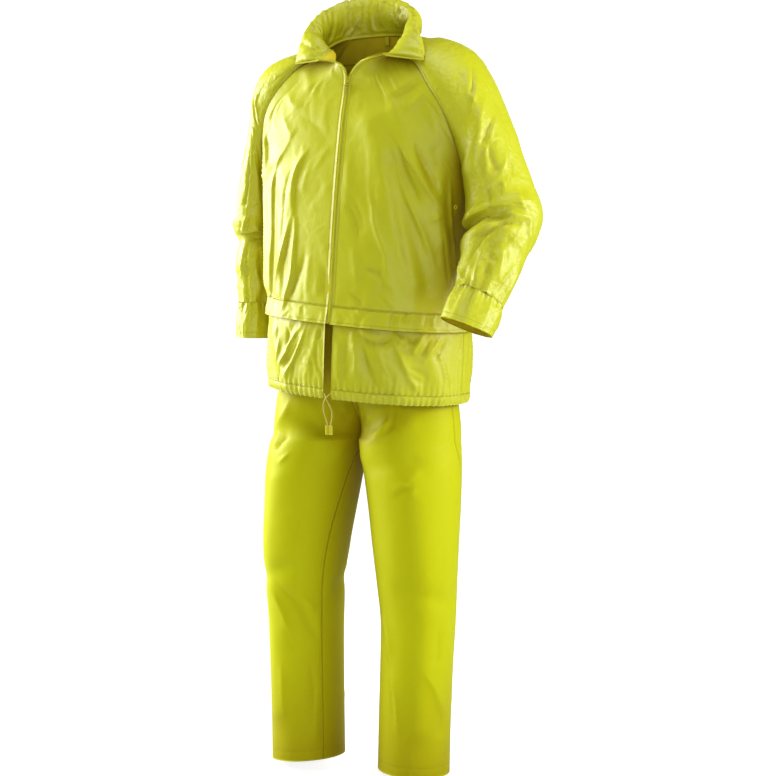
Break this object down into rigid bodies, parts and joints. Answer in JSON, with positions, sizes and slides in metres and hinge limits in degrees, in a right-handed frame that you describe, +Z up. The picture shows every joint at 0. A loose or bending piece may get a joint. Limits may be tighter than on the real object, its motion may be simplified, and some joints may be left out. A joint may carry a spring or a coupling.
{
  "type": "rain suit",
  "caption": "Waterproof suit worn filled out: a raglan zip jacket with a stuffed stand collar and a skirt under a waist flap, over plain trousers",
  "frame": {"origin": "Between the shoulders, inside the jacket, 1.46 m above the ground under the trouser hems", "axes": "+Z is up, the wearer faces -Y, and the wearer's left arm is toward +X"},
  "size_m": [0.7213, 0.3496, 1.5701],
  "materials": {
    "cloth": "coated nylon, soft sheen",
    "zip_tape": "woven tape with moulded teeth",
    "zip_plastic": "moulded, satin",
    "zip_slider": "painted, satin",
    "cord": "braided, matte",
    "cord_end": "moulded, satin",
    "eyelet": "painted, satin"
  },
  "bodies": {
    "suit": {"jacket_front_right": "cloth", "jacket_front_left": "cloth", "jacket_back_lower": "cloth", "jacket_back_yoke": "cloth", "sleeve_right": "cloth", "sleeve_left": "cloth", "cuff_right": "cloth", "cuff_left": "cloth", "collar": "cloth", "waist_flap_front_right": "cloth", "skirt_front_right": "cloth", "hem_channel_front_right": "cloth", "waist_flap_front_left": "cloth", "skirt_front_left": "cloth", "hem_channel_front_left": "cloth", "waist_flap_back": "cloth", "skirt_back": "cloth", "hem_channel_back": "cloth", "zip_tape_right": "zip_tape", "zip_tape_left": "zip_tape", "zip_guard": "cloth", "hanging_loop": "cloth", "vent_eyelet_right": "eyelet", "vent_eyelet_left": "eyelet", "zip_slider": "zip_slider", "zip_stop": "zip_plastic", "hem_cord_right": "cord", "hem_cord_left": "cord", "cord_end": "cord_end", "trouser_front_right": "cloth", "trouser_back_right": "cloth", "trouser_front_left": "cloth", "trouser_back_left": "cloth", "trouser_waistband": "cloth"},
    "pull_tab": {"zip_pull_tab": "zip_slider"}
  },
  "joints": [
    {"name": "pull_tab_hinge", "type": "hinge", "parent": "suit", "child": "pull_tab", "pos_m": [0.004, -0.08697, -0.06463], "axis": [-1, 0, 0], "range_deg": [0, 150]}
  ]
}
